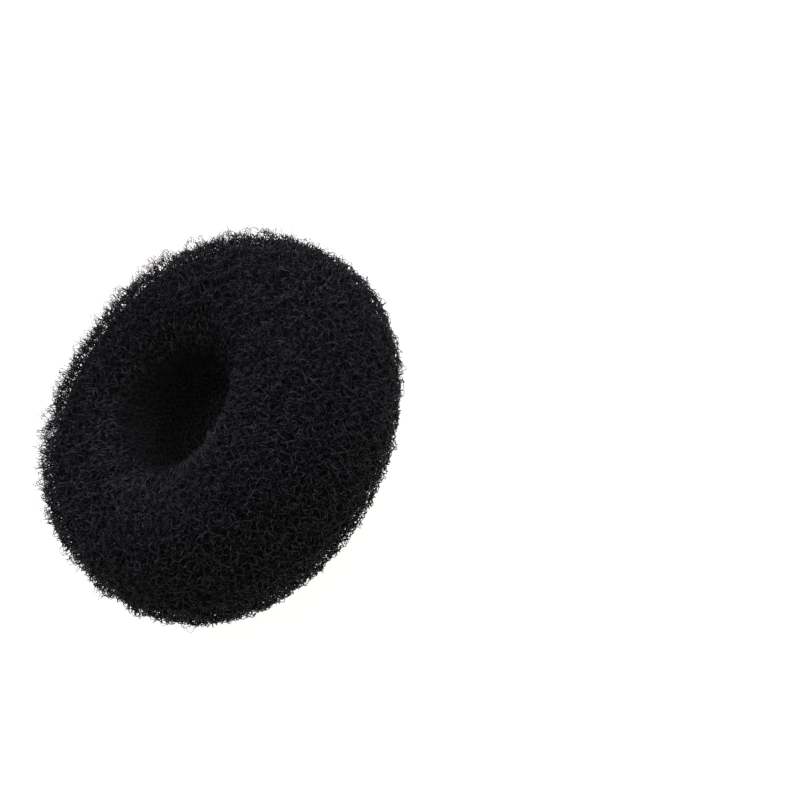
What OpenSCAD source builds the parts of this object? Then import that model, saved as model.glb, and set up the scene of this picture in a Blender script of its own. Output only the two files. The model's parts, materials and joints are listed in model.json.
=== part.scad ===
// Hair bun ring: a tube of crimped net rolled on itself into a soft, filled ring.
// Millimetres. +Z runs up the hole, the foot lies on z = 0, and the origin is under the ring's middle.

/* [Ring] */
// Width of the ring from rim to rim
ring_d = 90; // [60:1:110]
// Height of the ring before its own weight flattens the foot
ring_h = 36.5; // [22:0.5:42]
// How much the foot is flattened where it lies
foot_press = 0.6; // [0.3:0.1:1.2]

/* [Hole] */
// Width of the hole at its throat, its narrowest place
throat_d = 25; // [14:0.5:30]
// How far the roll would close past the throat if nothing held it open
throat_pinch = 0.6; // [0.5:0.1:1]
// How far the hole lies off the ring's middle along X
hole_off_x = -0.6; // [-1.5:0.1:1.5]
// How far the hole lies off the ring's middle along Y
hole_off_y = 1; // [-1.5:0.1:1.5]

/* [Gathers] */
// Number of gathers where the net is drawn into the hole
gathers = 24; // [0:1:32]
// Depth of the deepest gather
gather_depth = 0.4; // [0:0.1:0.8]

/* [Hidden] */
// The roll is never a true circle. A row is a direction seen from above, in degrees from +X.
DIRECTION = 0;
RIM_OUT = 1;
MOUTH_OUT = 2;
STRAYS = [
    // direction, rim outwards, mouth of the hole outwards
    [0, -0.8, 0.2],
    [30, -1.3, -0.3],
    [60, -0.1, -0.3],
    [90, 0.3, 0.2],
    [120, 1.4, 0.2],
    [150, 0.3, 0],
    [180, -1.3, 0.1],
    [210, -0.6, 0.2],
    [240, 0, -0.2],
    [270, 0.3, -0.3],
    [300, 0.8, 0.1],
    [330, 0.9, 0.3],
];
row_step = STRAYS[1][DIRECTION] - STRAYS[0][DIRECTION];

ring_r = ring_d / 2;
throat_r = throat_d / 2;
half_h = ring_h / 2;
middle_z = half_h - foot_press;

// Sections round the ring, and corners round each section
sections = 96;
corners = 36;

// A value between four evenly spaced ones, on the smooth curve through the middle two
function smooth_between(a, b, c, d, part) =
    b + part / 2 * (c - a + part * (2 * a - 5 * b + 4 * c - d + part * (3 * (b - c) + d - a)));

function stray_of_row(row, column) = STRAYS[(row + len(STRAYS)) % len(STRAYS)][column];

function stray(direction, column) =
    let (at = direction / row_step, row = floor(at))
    smooth_between(
        stray_of_row(row - 1, column),
        stray_of_row(row, column),
        stray_of_row(row + 1, column),
        stray_of_row(row + 2, column),
        at - row
    );

function rim_reach(direction) = ring_r + stray(direction, RIM_OUT);

function mouth_reach(direction) =
    throat_r - throat_pinch + stray(direction, MOUTH_OUT)
    + hole_off_x * cos(direction) + hole_off_y * sin(direction);

// The gathers are deepest on the two flares of the hole, and gone at the throat and at the crown
function gather_share(turn) = cos(turn) < 0 ? pow(sin(2 * turn), 2) : 0;

// Neighbouring gathers differ in depth
function gather_wave(direction) = (2 * cos(gathers * direction) + cos((gathers - 7) * direction + 60)) / 3;

// One corner of a section: turn 0 is the rim, 90 the crown, 180 the throat and 270 the foot
function roll_point(direction, turn) =
    let (
        rim = rim_reach(direction),
        mouth = mouth_reach(direction),
        dent = gather_depth * gather_share(turn) * gather_wave(direction),
        reach = (rim + mouth) / 2 + (rim - mouth) / 2 * cos(turn) + dent * abs(cos(turn)),
        height = (half_h - dent) * sin(turn)
    )
    [reach * cos(direction), reach * sin(direction), middle_z + height];

module roll_form() {
    points = [
        for (s = [0:sections - 1], c = [0:corners - 1])
            roll_point(s * 360 / sections, c * 360 / corners)
    ];
    faces = [
        for (s = [0:sections - 1], c = [0:corners - 1])
            let (
                next_s = (s + 1) % sections,
                next_c = (c + 1) % corners,
                a = s * corners + c,
                b = s * corners + next_c,
                d = next_s * corners + c,
                e = next_s * corners + next_c
            )
            each [[a, b, e], [a, e, d]]
    ];
    polyhedron(points = points, faces = faces);
}

// The throat is a true cylinder, where the innermost course of the net stands straight
module throat() {
    translate([hole_off_x, hole_off_y, -1])
        cylinder(h = ring_h + 2, r = throat_r, $fn = 96);
}

module below_the_foot() {
    translate([-ring_d, -ring_d, -ring_h])
        cube([2 * ring_d, 2 * ring_d, ring_h]);
}

module net_roll() {
    color("#1b1a20")
        difference() {
            roll_form();
            throat();
            below_the_foot();
        }
}

net_roll();
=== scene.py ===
# Hair bun ring: crimped black nylon net rolled on itself into a soft, filled ring with a round hole.
# Metres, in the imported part's frame: +Z up through the hole, and the ring lies on z = 0.
import json
import math

import bpy
import numpy as np
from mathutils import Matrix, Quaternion, Vector
from mathutils.bvhtree import BVHTree


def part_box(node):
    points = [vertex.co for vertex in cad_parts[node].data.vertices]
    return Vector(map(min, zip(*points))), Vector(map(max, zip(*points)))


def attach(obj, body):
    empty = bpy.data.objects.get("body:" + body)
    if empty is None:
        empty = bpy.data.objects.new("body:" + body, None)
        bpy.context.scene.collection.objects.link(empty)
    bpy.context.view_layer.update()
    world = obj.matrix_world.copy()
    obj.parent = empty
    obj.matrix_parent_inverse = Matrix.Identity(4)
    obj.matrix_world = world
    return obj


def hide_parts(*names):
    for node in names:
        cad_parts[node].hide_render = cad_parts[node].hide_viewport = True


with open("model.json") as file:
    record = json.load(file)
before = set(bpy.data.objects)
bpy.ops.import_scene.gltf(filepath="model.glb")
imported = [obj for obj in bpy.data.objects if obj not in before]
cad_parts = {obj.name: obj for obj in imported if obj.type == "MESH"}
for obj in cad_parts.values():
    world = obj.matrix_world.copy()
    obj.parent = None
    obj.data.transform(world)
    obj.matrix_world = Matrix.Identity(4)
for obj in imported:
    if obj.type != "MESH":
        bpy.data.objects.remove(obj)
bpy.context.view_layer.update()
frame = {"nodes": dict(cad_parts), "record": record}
scene = bpy.context.scene

# The camera looks down into the hole at a slant, from as far above the ring's plane as in the photograph.
# It is rolled, because the photograph shows the ring leaning, and here the ring lies on its side.
MM = 0.001
PICTURE_SIDE_PX = 800
RING_MIDDLE_PX = (218, 424)
RING_WIDTH_PX = 405
RING_WIDTH = 90 * MM
VIEW_FROM_HOLE_AXIS = math.radians(51)
CAMERA_DISTANCE = 320 * MM
CAMERA_ROLL = math.radians(-61.5)
SENSOR_MM = 36

hole = next(m for m in frame["record"]["mounts"] if m["name"] == "ponytail_hole")
ring_low, ring_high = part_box("net_roll")
ring_middle = Vector(((ring_low.x + ring_high.x) / 2, (ring_low.y + ring_high.y) / 2, hole["pos_m"][2]))

focal_px = RING_WIDTH_PX / RING_WIDTH * CAMERA_DISTANCE
camera_data = bpy.data.cameras.new("camera")
camera_data.sensor_width = SENSOR_MM
camera_data.lens = focal_px / PICTURE_SIDE_PX * SENSOR_MM
camera = bpy.data.objects.new("camera", camera_data)
scene.collection.objects.link(camera)
towards_camera = Vector((0, -math.sin(VIEW_FROM_HOLE_AXIS), math.cos(VIEW_FROM_HOLE_AXIS)))
camera.location = ring_middle + towards_camera * CAMERA_DISTANCE
looking_at_ring = (-towards_camera).to_track_quat("-Z", "Y")
half_side = PICTURE_SIDE_PX / 2
ring_in_view = Vector((RING_MIDDLE_PX[0] - half_side, half_side - RING_MIDDLE_PX[1], -focal_px))
turn_aside = ring_in_view.rotation_difference(Vector((0, 0, -1)))
camera.rotation_mode = "QUATERNION"
camera.rotation_quaternion = looking_at_ring @ Quaternion((0, 0, 1), CAMERA_ROLL) @ turn_aside
scene.camera = camera
# This view shows the colours as they are given, and the white floor as white
scene.view_settings.view_transform = "Standard"

# The core is the inner turns of the roll: the same crimped nylon net, packed so close that it reads as one
# dark mass between the strands. It follows the ring's own surface, a little way in, with the roll's soft
# shape: the foot spreads into the hole, the mouth is oval, and one side is snug and another loose.
CORE_DIRECTIONS = 200
CORE_STEPS = 110
CORE_DEPTH = 1.8 * MM
CORE_RISE_IN_HOLE = 0.53
CORE_ABOVE_FLOOR = 0.35 * MM
CORE_LUMP = 2.5 * MM
CORE_LUMP_HEIGHT = 0.35 * MM
CORE_SEED = 7
# The ring's surface is found in so many directions round the ring, by so many rays from the middle of the
# section there, and is then read at so many even steps
DIRECTIONS = 240
RAYS = 144
STEPS_ALONG = 160

solid = frame["nodes"]["net_roll"]
surface_tree = BVHTree.FromPolygons(
    [v.co for v in solid.data.vertices], [tuple(p.vertices) for p in solid.data.polygons]
)
mean_reach = ((ring_high.x - ring_low.x) + (ring_high.y - ring_low.y)) / 4
spine_radius = (mean_reach + hole["dims"]["r_mm"] * MM) / 2


def section_of_ring(direction):
    """The ring's surface in one direction from its axis, at even steps from the rim by way of the crown."""
    outwards = Vector((math.cos(direction), math.sin(direction), 0))
    spine = ring_middle + outwards * spine_radius
    ray_hits = []
    for turn in 2 * math.pi * np.arange(RAYS) / RAYS:
        ray = outwards * math.cos(turn) + Vector((0, 0, math.sin(turn)))
        ray_hits.append(surface_tree.ray_cast(spine, ray)[0])
    section = np.array(ray_hits + ray_hits[:1])
    walked = np.concatenate([[0], np.cumsum(np.linalg.norm(np.diff(section, axis=0), axis=1))])
    even = np.linspace(0, walked[-1], STEPS_ALONG, endpoint=False)
    return np.stack([np.interp(even, walked, along_axis) for along_axis in section.T], axis=1)


surface = np.array([section_of_ring(2 * math.pi * d / DIRECTIONS) for d in range(DIRECTIONS)])
round_ring = np.roll(surface, -1, 0) - np.roll(surface, 1, 0)
round_section = np.roll(surface, -1, 1) - np.roll(surface, 1, 1)
outward = np.cross(round_ring, round_section)
outward /= np.linalg.norm(outward, axis=2, keepdims=True)
section_length = np.linalg.norm(round_section, axis=2).sum(1).mean() / 2


def periodic(values, at):
    """Values on a grid whose first two axes close on themselves, read at places between its points."""
    rows, columns = values.shape[:2]
    row, column = (at[0] % 1) * rows, (at[1] % 1) * columns
    r0, c0 = np.floor(row).astype(int), np.floor(column).astype(int)
    row_part, column_part = (row - r0)[..., None], (column - c0)[..., None]
    r0, c0 = r0 % rows, c0 % columns
    r1, c1 = (r0 + 1) % rows, (c0 + 1) % columns
    near = values[r0, c0] * (1 - column_part) + values[r0, c1] * column_part
    far = values[r1, c0] * (1 - column_part) + values[r1, c1] * column_part
    return near * (1 - row_part) + far * row_part


def noise_in_space(rng):
    """Smooth noise from -1 to 1, as a function of places and of the size of its cells."""
    side = 32
    lattice = rng.uniform(-1, 1, (side, side, side))

    def noise(places, cell):
        at = places.reshape(-1, 3) / cell
        corner = np.floor(at).astype(int)
        part = at - corner
        part = part * part * (3 - 2 * part)
        total = np.zeros(len(at))
        for step in np.ndindex(2, 2, 2):
            weight = np.prod(np.where(step, part, 1 - part), axis=1)
            total += weight * lattice[tuple(((corner + step) % side).T)]
        return total.reshape(places.shape[:-1])

    return noise


def bump(at, middle, over):
    """A smooth bump, one high, as a function of places on a line."""
    return np.exp(-(((at - middle) / over) ** 2))


# Places round the ring, called u, run from 0 to 1, and places round its section, called v, from 0 at the
# rim by 0.25 at the crown and 0.5 at the throat to 0.75 at the foot. Where the net faces the hole's axis by
# more than the first of these shares it is drawn in, and fully from the second on.
DRAWN_FROM = 0.25
DRAWN_BY = 0.6
# The foot spreads into the hole, the mouth is oval, and one side is wound snug and another loose
FOOT_BULGE = 1.7 * MM
FOOT_AT = 0.66
FOOT_OVER = 0.06
OVAL = 1.5 * MM
OVAL_AT = 19 / 360
MOUTH_AT = 0.42
MOUTH_OVER = 0.06
SNUG = 1.5 * MM
SNUG_AT = 168 / 360
SNUG_OVER = 20 / 360
LOOSE = 0.3 * MM
LOOSE_AT = 70 / 360
LOOSE_POWER = 3


def drawn_in(v):
    """How far the net is drawn in, v of the way round the section: 0 on the rim's side, 1 in the hole."""
    return np.clip((-np.cos(2 * np.pi * v) - DRAWN_FROM) / (DRAWN_BY - DRAWN_FROM), 0, 1)


def on_loose_side(u):
    """How far u of the way round the ring is on its looser side: 1 in the middle of it, and 0 opposite."""
    return np.cos(np.pi * (u - LOOSE_AT)) ** 2


def looseness(u, v):
    """How loose the net is wound: 1 in the middle of its looser side, and 0 opposite and in the hole."""
    return on_loose_side(u) ** LOOSE_POWER * (1 - drawn_in(v))


def swell(u, v):
    """How far the soft roll stands out of its solid, u of the way round the ring, v round the section."""
    foot = FOOT_BULGE * bump(v, FOOT_AT, FOOT_OVER)
    mouth = OVAL * np.cos(2 * np.pi * (u - OVAL_AT)) ** 2 * bump(v, MOUTH_AT, MOUTH_OVER)
    return foot + mouth - SNUG * bump(u, SNUG_AT, SNUG_OVER) - LOOSE * looseness(u, v)


def closed_grid(rows, columns):
    """Quads over a grid of points that closes on itself both ways, and their corners on a flat map."""
    r, c = np.meshgrid(np.arange(rows), np.arange(columns), indexing="ij")
    corners = [(0, 0), (1, 0), (1, 1), (0, 1)]
    faces = [(r + dr) % rows * columns + (c + dc) % columns for dr, dc in corners]
    flat = [np.stack([(r + dr) / rows, (c + dc) / columns], -1) for dr, dc in corners]
    return np.stack(faces, -1).reshape(-1, 4), np.stack(flat, 2).reshape(-1, 4, 2)


def mesh_piece(name, points, faces, flat, material):
    """A piece of the roll from arrays of points, of quads, and of a flat map for baking its textures."""
    mesh = bpy.data.meshes.new(name)
    mesh.vertices.add(len(points))
    mesh.vertices.foreach_set("co", points.astype(np.float32).ravel())
    mesh.loops.add(faces.size)
    mesh.loops.foreach_set("vertex_index", faces.astype(np.int32).ravel())
    mesh.polygons.add(len(faces))
    mesh.polygons.foreach_set("loop_start", np.arange(0, faces.size, 4, dtype=np.int32))
    mesh.polygons.foreach_set("use_smooth", np.ones(len(faces), bool))
    mesh.update(calc_edges=True)
    flat_map = mesh.uv_layers.new(name="OFBake")
    flat_map.data.foreach_set("uv", flat.astype(np.float32).ravel())
    mesh.materials.append(material)
    piece = bpy.data.objects.new(name, mesh)
    scene.collection.objects.link(piece)
    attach(piece, "root")
    return piece


def linear(hex_colour):
    """An sRGB hex colour as the linear one that the shader takes."""
    channels = [int(hex_colour[i : i + 2], 16) / 255 for i in (1, 3, 5)]
    return [c / 12.92 if c <= 0.04045 else ((c + 0.055) / 1.055) ** 2.4 for c in channels] + [1]


def node(tree, kind, settings=(), links=()):
    """Adds one node, sets what settings names on it or its sockets, and links its sockets to outputs."""
    made = tree.nodes.new(kind)
    for key, value in dict(settings).items():
        if hasattr(made, str(key)):
            setattr(made, key, value)
        else:
            made.inputs[key].default_value = value
    for key, output in dict(links).items():
        tree.links.new(output, made.inputs[key])
    return made


# The Mix node's sockets for colours have no names of their own, so they go by their numbers, as the maths
# nodes' sockets do
MIX_A = 6
MIX_B = 7
MIX_RESULT = 2

# In the hole the turns lie so close that little light comes back from between them. Three turns over a core
# are too few for that, so the thread is drawn in one even dark colour there: painted shade.
HOLE_DARK_WITHIN = 14.4 * MM
HOLE_LIGHT_BEYOND = 16.6 * MM
HOLE_SHADE_COLOUR = "#161718"
# The painted shade is oval as the mouth is, narrower along X, and lies to the side where the turns are
# closest
HOLE_OVAL = (1.1, 0.95, 0)
HOLE_DARKEST_AT = Vector(hole["pos_m"]) + Vector((-1.2 * MM, 0.8 * MM, 0))


def painted_shade_in_hole(tree, place, colour):
    """The colour given, or in the hole the painted shade colour, by how far a place is from its darkest
    part.
    """
    aside = node(tree, "ShaderNodeVectorMath", {"operation": "SUBTRACT", 1: HOLE_DARKEST_AT}, {0: place})
    level = node(
        tree, "ShaderNodeVectorMath", {"operation": "MULTIPLY", 1: HOLE_OVAL}, {0: aside.outputs[0]}
    )
    reach = node(tree, "ShaderNodeVectorMath", {"operation": "LENGTH"}, {0: level.outputs[0]})
    share = node(
        tree,
        "ShaderNodeMapRange",
        {"From Min": HOLE_DARK_WITHIN, "From Max": HOLE_LIGHT_BEYOND},
        {"Value": reach.outputs["Value"]},
    )
    mixed = node(
        tree,
        "ShaderNodeMix",
        {"data_type": "RGBA", MIX_A: linear(HOLE_SHADE_COLOUR)},
        {"Factor": share.outputs["Result"], MIX_B: colour},
    )
    return mixed.outputs[MIX_RESULT]


# Crimped nylon net in many turns: matt and almost black, as light is lost between them. Faint crooked
# lines, about as wide as the thread and as far apart as the net's courses, give the eye the strands of the
# next turns. They run along the edges of two sets of cells, one a little aside of the other.
THREAD_WIDTH = 0.22 * MM
COURSE_GAP = 1.4 * MM
LINE_FULL_WITHIN = 0.15 * THREAD_WIDTH
LINE_ENDS_BY = 0.55 * THREAD_WIDTH
LINE_RELIEF = 0.3 * MM
packed_net = bpy.data.materials.new("packed crimped nylon net, black")
packed_net.use_nodes = True
tree = packed_net.node_tree
tree.nodes.clear()
place = node(tree, "ShaderNodeTexCoord").outputs["Object"]
strands = []
for aside in (0, COURSE_GAP / 4):
    moved = node(tree, "ShaderNodeVectorMath", {"operation": "ADD", 1: (aside, aside, aside)}, {0: place})
    cells = node(
        tree,
        "ShaderNodeTexVoronoi",
        {"feature": "DISTANCE_TO_EDGE", "Scale": 1 / COURSE_GAP},
        {"Vector": moved.outputs[0]},
    )
    strand = node(
        tree,
        "ShaderNodeMapRange",
        {
            "From Min": LINE_FULL_WITHIN / COURSE_GAP,
            "From Max": LINE_ENDS_BY / COURSE_GAP,
            "To Min": 1.0,
            "To Max": 0.0,
        },
        {"Value": cells.outputs["Distance"]},
    )
    strands.append(strand.outputs["Result"])
both = node(tree, "ShaderNodeMath", {"operation": "MAXIMUM"}, {0: strands[0], 1: strands[1]})
strand_colour = node(
    tree,
    "ShaderNodeMix",
    {"data_type": "RGBA", MIX_A: linear("#080808"), MIX_B: linear("#1c1c1e")},
    {"Factor": both.outputs[0]},
)
packed_colour = painted_shade_in_hole(tree, place, strand_colour.outputs[MIX_RESULT])
relief = node(tree, "ShaderNodeBump", {"Distance": LINE_RELIEF}, {"Height": both.outputs[0]})
nylon = node(
    tree,
    "ShaderNodeBsdfPrincipled",
    {"Roughness": 0.8, "IOR": 1.53, "Specular IOR Level": 0.01},
    {"Base Color": packed_colour, "Normal": relief.outputs["Normal"]},
)
node(tree, "ShaderNodeOutputMaterial", links={"Surface": nylon.outputs["BSDF"]})

core_at = np.meshgrid(
    np.arange(CORE_DIRECTIONS) / CORE_DIRECTIONS, np.arange(CORE_STEPS) / CORE_STEPS, indexing="ij"
)
core_base = periodic(surface, core_at)
lumps = CORE_LUMP_HEIGHT * noise_in_space(np.random.default_rng(CORE_SEED))(core_base, CORE_LUMP)
core_height = swell(*core_at) - CORE_DEPTH * (1 - CORE_RISE_IN_HOLE * drawn_in(core_at[1])) + lumps
core_points = core_base + core_height[..., None] * periodic(outward, core_at)
core_points[..., 2] = np.maximum(core_points[..., 2], CORE_ABOVE_FLOOR)
core = mesh_piece(
    "packed_core", core_points.reshape(-1, 3), *closed_grid(CORE_DIRECTIONS, CORE_STEPS), packed_net
)
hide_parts("net_roll")

# The three outer turns of the net, drawn thread by thread. It is crimped nylon thread, 0.22 mm thick, in
# courses that run round the ring. Each course swings between its neighbours, held by them in turn, which
# opens the net into cells. Loose loops stand out as fuzz, and the net is combed where it enters the hole.
THREAD_RADIUS = THREAD_WIDTH / 2
# Threads are drawn three-sided, from a corner this part of a side round, so that one side faces outwards
THREAD_SIDES = 3
FIRST_CORNER = 0.25
# Cells are this wide, narrower in the hole. Their number round the ring changes by this factor at a time.
CELL_WIDTH = 1.75 * MM
NARROWED_BY_HOLE = 0.25
STEP_BETWEEN_COUNTS = 1.15
# At the lip of the hole the net is combed, which makes its cells this much longer. On the loose side they
# are evened out again by the last of these shares.
COMBED_LONG = 1.0
COMBED_AT = 0.335
COMBED_OVER = 0.035
EVENED = 0.4
# Where the net is drawn tight, its threads stray and curl this much less
CALMED_BY_HOLE = 0.15
CALMED_BY_LIP = 0.5
# How far a holding place strays: along the course in swings, over the gap in gaps, and out of the net
NODE_STRAY = (0.6, 0.44, 0.23 * MM)
# How far the crimp throws the thread aside between its holding places
CURL = 0.42 * MM
# How far the middle of a swing may arch out of the net, and how much taller tufts are on the loose side
ARCH = 1.7 * MM
LOOSER = 0.55
# The whole net wanders a little
DRIFT = 0.5 * MM
DRIFT_CELL = 3.5 * MM
# Tufts rise where smooth noise of this size is above one value, and stand full by another
TUFT = 2.0 * MM
TUFT_FROM = -0.4
TUFT_BY = 0.7
TUFT_POWER = 1.3
# Near the floor the net is pressed, and only from this height on does it stand out freely
FREE_ABOVE = 25 * MM
LEAST_FREE = 0.4
# What stands out of the ring are single filaments, finer than the thread
THINNED = 0.65
THINNEST_AT = 1.7 * MM


def thread_tube(path, up, radius, row, rows):
    """A closed thread as a thin tube: its points, its quads, and its row of a flat map of so many rows."""
    ahead = np.roll(path, -1, 0) - np.roll(path, 1, 0)
    ahead /= np.linalg.norm(ahead, axis=1, keepdims=True)
    side = np.cross(ahead, up)
    side /= np.linalg.norm(side, axis=1, keepdims=True)
    up = np.cross(side, ahead)
    sides = []
    for s in range(THREAD_SIDES):
        angle = 2 * math.pi * (s + FIRST_CORNER) / THREAD_SIDES
        sides.append(path + radius[:, None] * (math.cos(angle) * side + math.sin(angle) * up))
    faces, flat = closed_grid(len(path), THREAD_SIDES)
    flat[..., 1] = (row + flat[..., 1]) / rows
    return np.stack(sides, axis=1).reshape(-1, 3), faces, flat


def course_places(coarse):
    """Where the courses lie round the section: an even number, farther apart where the lip combs them."""
    places = [0.0]
    while places[-1] < 1 or len(places) % 2 == 0:
        gap = coarse * COURSE_GAP * (1 + COMBED_LONG * bump(places[-1], COMBED_AT, COMBED_OVER))
        places.append(places[-1] + gap / section_length)
    return np.array(places) / places[-1]


def cells_round(v, coarse):
    """How many cells the course at v has, in steps so that most neighbours have the same number."""
    quarters = periodic(surface, (np.array([0.0, 0.25, 0.5, 0.75]), np.full(4, v)))
    girth = 2 * math.pi * np.linalg.norm(quarters[:, :2], axis=1).mean()
    wanted = girth / (coarse * CELL_WIDTH * (1 - NARROWED_BY_HOLE * drawn_in(v)))
    return round(STEP_BETWEEN_COUNTS ** round(math.log(wanted, STEP_BETWEEN_COUNTS)))


def swing_nodes(course, gap, held_above, held_below):
    """Where a course is held: along it in swings, over its gap from -0.5 to 0.5, and out of the net."""
    swing = np.arange(len(held_above))
    upwards = (swing + course) % 2 == 0
    nodes = np.where(upwards[:, None], held_above, held_below)
    nodes[:, 0] += swing
    nodes[:, 1] += np.where(upwards, 1, -1) * (0.5 - THREAD_RADIUS / gap)
    return nodes


def between_nodes(nodes, part):
    """The points at each part of the straight way from each node to the next, round the whole course."""
    next_nodes = np.roll(nodes, -1, 0)
    next_nodes[-1, 0] += len(nodes)
    points = nodes[:, None] * (1 - part[:, None]) + next_nodes[:, None] * part[:, None]
    return points.reshape(-1, 3).T


def curls(rng, part, swings):
    """How far the crimp throws the thread in each swing: along its course, across it and out of the net."""
    way, other_way = rng.normal(size=(2, swings, 1, 3))
    way /= np.linalg.norm(way, axis=-1, keepdims=True)
    other_way /= np.linalg.norm(other_way, axis=-1, keepdims=True)
    turn = 2 * math.pi * (part + rng.uniform(size=(swings, 1)))[..., None]
    bulge = np.sin(np.pi * part)[:, None]
    thrown = CURL * np.sqrt(bulge) * (np.cos(turn) * way + np.sin(turn) * other_way)
    return thrown.reshape(-1, 3).T


def evened(u, v):
    """Places round the section, evened out on the loose side, where the lip of the hole combs less."""
    return v - EVENED * on_loose_side(u) * (v - COMBED_AT) * bump(v, COMBED_AT, 2 * COMBED_OVER)


def tufts(noise, base, u, v, loops):
    """How far loops stand out in tufts over places on the ring's surface, if they are free to."""
    tuft = np.clip((noise(base, TUFT) - TUFT_FROM) / (TUFT_BY - TUFT_FROM), 0, 1) ** TUFT_POWER
    return loops * (1 + LOOSER * looseness(u, v)) * tuft


def net_pieces(names, threads, material):
    """The threads as tubes, joined to pieces of like length."""
    lengths = np.cumsum([len(path) for path, _, _ in threads])
    piece_of = np.minimum(lengths * len(names) // lengths[-1], len(names) - 1)
    for k, name in enumerate(names):
        band = [thread for thread, piece in zip(threads, piece_of) if piece == k]
        tubes = [thread_tube(*thread, row, len(band)) for row, thread in enumerate(band)]
        starts = np.cumsum([0] + [len(points) for points, _, _ in tubes])
        points = np.concatenate([points for points, _, _ in tubes])
        faces = np.concatenate([faces + start for (_, faces, _), start in zip(tubes, starts)])
        flat = np.concatenate([flat for _, _, flat in tubes])
        mesh_piece(name, points, faces, flat, material)


def net_turn(names, seed, coarse, depth, depth_in_hole, loops, bends, material):
    """One turn of the net round the roll, in named pieces, with so many bends in every swing."""
    rng = np.random.default_rng(seed)
    noise = noise_in_space(rng)
    places = course_places(coarse)
    part = np.arange(bends + 1) / (bends + 1)
    threads = []
    held_below = ()
    for course, (place, next_place) in enumerate(zip(places[:-1], places[1:])):
        gap = (next_place - place) * section_length
        pull = drawn_in(place)
        calm = 1 - CALMED_BY_HOLE * pull
        swings = 2 * cells_round(place, coarse)
        held_above = calm * rng.uniform(-1, 1, (swings, 3)) * NODE_STRAY
        # Where the number of cells changes, a course has holding places of its own on both sides
        if len(held_below) != swings:
            held_below = calm * rng.uniform(-1, 1, (swings, 3)) * NODE_STRAY
        swing, over, held_height = between_nodes(swing_nodes(course, gap, held_above, held_below), part)
        held_below = held_above

        u = swing / swings
        v = evened(u, place + (next_place - place) * over)
        combed = (1 - on_loose_side(u)) * bump(v, COMBED_AT, COMBED_OVER)
        along, across, out = (calm - CALMED_BY_LIP * combed) * curls(rng, part, swings)
        arch = (ARCH * np.sin(np.pi * part) * rng.uniform(0, 1, (swings, 1)) ** 2).ravel()

        base = periodic(surface, (u, v))
        free = np.clip(base[:, 2] / FREE_ABOVE, LEAST_FREE, 1) * (1 - pull)
        height = held_height + out + swell(u, v) + (arch + tufts(noise, base, u, v, loops)) * free
        height -= depth * (1 - pull) + depth_in_hole * pull
        girth = 2 * math.pi * np.linalg.norm(base[:, :2], axis=1)
        along += DRIFT * noise(base, DRIFT_CELL)
        across += DRIFT * noise(base[:, ::-1], DRIFT_CELL)
        at = (u + along / girth, v + across / section_length)
        up = periodic(outward, at)
        path = periodic(surface, at) + height[:, None] * up
        path[:, 2] = np.maximum(path[:, 2], THREAD_RADIUS)
        radius = THREAD_RADIUS * (1 - THINNED * np.clip(height / THINNEST_AT, 0, 1))
        threads.append((path, up, radius))
    net_pieces(names, threads, material)


# Nylon 6 thread, dyed black and crimped by heat: satin, with painted glints of dark grey along it, about a
# crimp long, where the thread is also a little smoother. They give the eye the curls. Its gloss is held
# low, because a real thread this fine is rough with crimp and dust and doesn't mirror the white floor.
CRIMP = 1.1 * MM
# Smooth noise of a crimp's size paints a glint above the first of these values, and fully by the second
GLINT_FROM = 0.42
GLINT_BY = 0.68


def crimped_nylon(name, dull, bright, gloss):
    """Crimped nylon thread in its dull colour, with painted glints in its bright one, and with so much
    gloss.
    """
    material = bpy.data.materials.new(name)
    material.use_nodes = True
    tree = material.node_tree
    tree.nodes.clear()
    place = node(tree, "ShaderNodeTexCoord").outputs["Object"]
    # This noise lays out where the painted glints fall along the thread
    crimp = node(tree, "ShaderNodeTexNoise", {"Scale": 1 / CRIMP, "Detail": 1.0}, {"Vector": place})
    painted_glint = node(
        tree,
        "ShaderNodeMapRange",
        {"From Min": GLINT_FROM, "From Max": GLINT_BY},
        {"Value": crimp.outputs["Fac"]},
    )
    dye_and_glint = node(
        tree,
        "ShaderNodeMix",
        {"data_type": "RGBA", MIX_A: linear(dull), MIX_B: linear(bright)},
        {"Factor": painted_glint.outputs["Result"]},
    )
    thread_colour = painted_shade_in_hole(tree, place, dye_and_glint.outputs[MIX_RESULT])
    roughness = node(
        tree, "ShaderNodeMapRange", {"To Min": 0.55, "To Max": 0.38}, {"Value": painted_glint.outputs["Result"]}
    )
    nylon = node(
        tree,
        "ShaderNodeBsdfPrincipled",
        {"IOR": 1.53, "Specular IOR Level": gloss},
        {"Base Color": thread_colour, "Roughness": roughness.outputs["Result"]},
    )
    node(tree, "ShaderNodeOutputMaterial", links={"Surface": nylon.outputs["BSDF"]})
    return material


outer_nylon = crimped_nylon("crimped nylon thread, black", dull="#121315", bright="#33343a", gloss=0.06)
# The inner turn is the same thread in darker colours: painted shade for its depth under the other turns
painted_shade_nylon = crimped_nylon(
    "crimped nylon thread, black, in the shade", dull="#0c0c0d", bright="#1e1e20", gloss=0.04
)
# Each turn further in lies deeper, is a little coarser and has shorter loops. The outermost, which shows
# best, has the most bends.
net_turn(
    ["outer_net_crown", "outer_net_hole", "outer_net_foot"],
    seed=11,
    coarse=1.05,
    depth=0.6 * MM,
    depth_in_hole=0.12 * MM,
    loops=2.3 * MM,
    bends=4,
    material=outer_nylon,
)
net_turn(
    ["middle_net_upper", "middle_net_lower"],
    seed=12,
    coarse=1.15,
    depth=1.1 * MM,
    depth_in_hole=0.5 * MM,
    loops=2.0 * MM,
    bends=2,
    material=outer_nylon,
)
net_turn(
    ["inner_net_upper", "inner_net_lower"],
    seed=13,
    coarse=1.25,
    depth=1.6 * MM,
    depth_in_hole=0.7 * MM,
    loops=1.2 * MM,
    bends=2,
    material=painted_shade_nylon,
)

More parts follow.
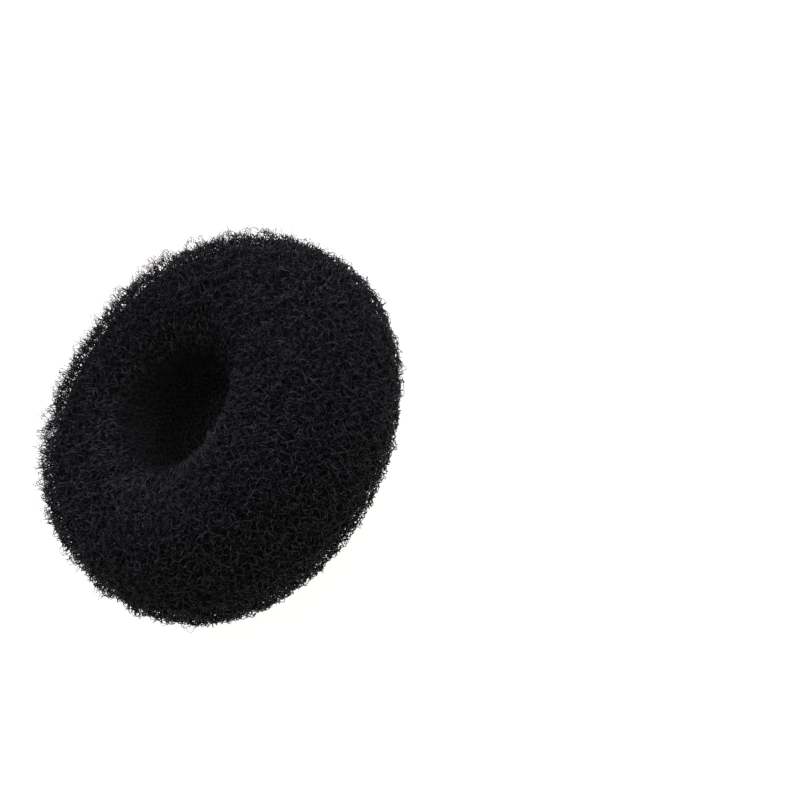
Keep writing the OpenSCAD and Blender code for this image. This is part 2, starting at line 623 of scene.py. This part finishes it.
# The floor is a wide sheet of opal white acrylic, sanded on top so that it mirrors nothing, and lit from
# below. So it is white right up to the ring and behind every strand, with only a trace of shadow. In itself
# it is grey, and adds little of the soft boxes. The sanding is drawn coarser than real, which is 0.1 mm.
FLOOR_SIDE = 30.0
PANEL_GLOW = 1.0
SANDED_GRAIN = 0.4 * MM
SANDED_DEPTH = 0.04 * MM
floor_mesh = bpy.data.meshes.new("floor")
edge = FLOOR_SIDE / 2
floor_corners = [(-edge, -edge, 0), (edge, -edge, 0), (edge, edge, 0), (-edge, edge, 0)]
floor_mesh.from_pydata(floor_corners, [], [(0, 1, 2, 3)])
floor = bpy.data.objects.new("floor", floor_mesh)
scene.collection.objects.link(floor)
acrylic = bpy.data.materials.new("opal white acrylic, sanded, lit from below")
acrylic.use_nodes = True
tree = acrylic.node_tree
tree.nodes.clear()
place = node(tree, "ShaderNodeTexCoord").outputs["Object"]
grain = node(tree, "ShaderNodeTexNoise", {"Scale": 1 / SANDED_GRAIN, "Detail": 2.0}, {"Vector": place})
roughness = node(
    tree, "ShaderNodeMapRange", {"To Min": 0.8, "To Max": 1.0}, {"Value": grain.outputs["Fac"]}
)
sanding = node(tree, "ShaderNodeBump", {"Distance": SANDED_DEPTH}, {"Height": grain.outputs["Fac"]})
panel = node(
    tree,
    "ShaderNodeBsdfPrincipled",
    {
        "Base Color": linear("#5a5a5a"),
        "IOR": 1.49,
        "Emission Color": linear("#fffcfa"),
        "Emission Strength": PANEL_GLOW,
    },
    {"Roughness": roughness.outputs["Result"], "Normal": sanding.outputs["Normal"]},
)
node(tree, "ShaderNodeOutputMaterial", links={"Surface": panel.outputs["BSDF"]})
floor_mesh.materials.append(acrylic)

# The light is a white studio tent, bright and cool towards the head of the picture, dark and warm towards
# its foot, and as white as the floor where they meet, with three square soft boxes in it. The head of the
# picture is along +X. Places on the tent are parts of a direction one long.
TENT_DARKEST = 0.33
TENT_BRIGHTEST = 1.3
TENT_DARK_AT = -0.5
TENT_WHITE_BELOW = 0.03
TENT_CLOTH_ABOVE = 0.1
world = bpy.data.worlds.new("studio tent")
world.use_nodes = True
tent = world.node_tree
facing = node(tent, "ShaderNodeTexCoord").outputs["Generated"]
ways = node(tent, "ShaderNodeSeparateXYZ", links={"Vector": facing})
towards_head = node(
    tent, "ShaderNodeMapRange", {"From Min": TENT_DARK_AT, "From Max": 1.0}, {"Value": ways.outputs["X"]}
)
cloth = node(
    tent,
    "ShaderNodeMix",
    {
        "data_type": "RGBA",
        MIX_A: [TENT_DARKEST * c for c in linear("#ffb890")],
        MIX_B: [TENT_BRIGHTEST * c for c in linear("#d8e4ff")],
    },
    {"Factor": towards_head.outputs["Result"]},
)
above_floor = node(
    tent,
    "ShaderNodeMapRange",
    {"From Min": TENT_WHITE_BELOW, "From Max": TENT_CLOTH_ABOVE},
    {"Value": ways.outputs["Z"]},
)
whole_tent = node(
    tent,
    "ShaderNodeMix",
    {"data_type": "RGBA", MIX_A: linear("#ffffff")},
    {"Factor": above_floor.outputs["Result"], MIX_B: cloth.outputs[MIX_RESULT]},
)
tent.links.new(whole_tent.outputs[MIX_RESULT], tent.nodes["Background"].inputs["Color"])
scene.world = world


def softbox(name, place, side, watts, colour):
    """A square soft box at a place from the ring's middle, which it faces."""
    light = bpy.data.lights.new(name, "AREA")
    light.shape = "SQUARE"
    light.size = side
    light.energy = watts
    light.color = linear(colour)[:3]
    box = bpy.data.objects.new(name, light)
    box.location = ring_middle + Vector(place)
    box.rotation_mode = "QUATERNION"
    box.rotation_quaternion = (-Vector(place)).to_track_quat("-Z", "Y")
    scene.collection.objects.link(box)


softbox("side_softbox", place=(0.9, 0.4, 0.9), side=1.4, watts=25, colour="#ececff")
softbox("overhead_softbox", place=(0.3, 0.3, 1.1), side=1.8, watts=13, colour="#fff8f4")
softbox("fill_softbox", place=(0.2, -0.85, 0.5), side=0.8, watts=3.5, colour="#fff0e4")
